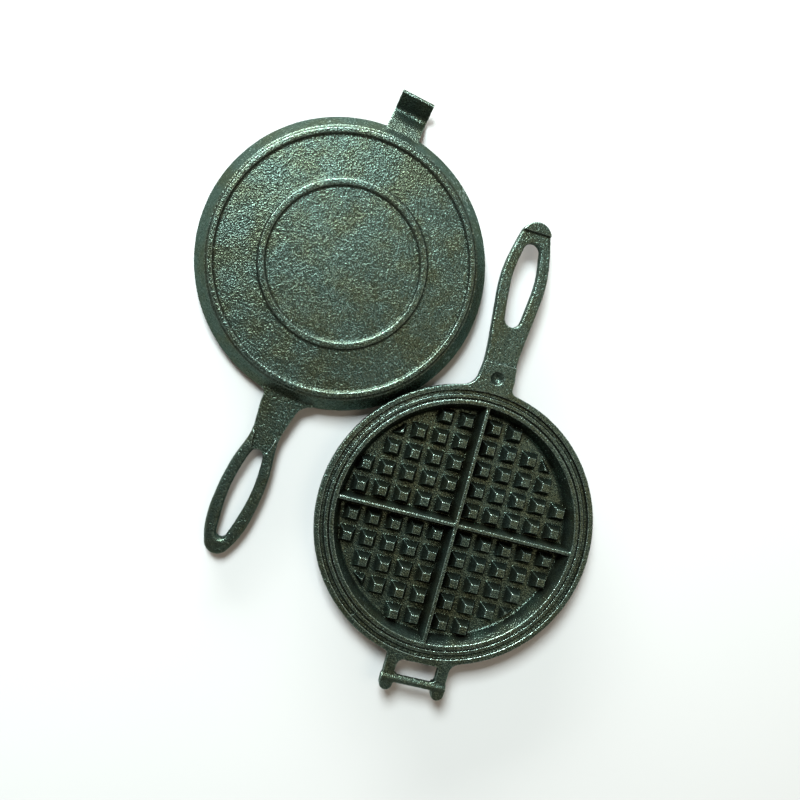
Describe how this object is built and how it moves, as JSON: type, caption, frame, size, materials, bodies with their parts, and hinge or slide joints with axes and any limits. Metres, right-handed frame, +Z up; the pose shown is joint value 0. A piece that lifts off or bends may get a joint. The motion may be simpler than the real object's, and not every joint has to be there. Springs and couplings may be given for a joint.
{
  "type": "stovetop waffle iron",
  "caption": "Round cast-iron stovetop waffle iron, taken apart: a pan with hinge bar, slotted handle and waffle grid, and its lid half with hook and looped handle, lying back up.",
  "frame": {"origin": "middle of the bottom face of the pair's bounding box, on the table", "axes": "+Z up, +Y along the bar half's handle, from its hinge bar to its tip, +X along its hinge bar; the hook half lies towards -X and +Y"},
  "size_m": [0.3162, 0.3951, 0.0267],
  "materials": {
    "bar_half_iron": "pre-seasoned sand-cast iron, fine grain, dull sheen",
    "hook_half_iron": "pre-seasoned sand-cast iron, fine grain, dull sheen"
  },
  "bodies": {
    "hook_half": {"hook_half": "hook_half_iron"},
    "bar_half": {"bar_half": "bar_half_iron"}
  },
  "joints": [
    {"name": "hinge_bar", "type": "hinge", "parent": "hook_half", "child": "bar_half", "pos_m": [0.06058, -0.18873, 0.0162], "axis": [1, 0, 0], "range_deg": [0, 105]}
  ]
}
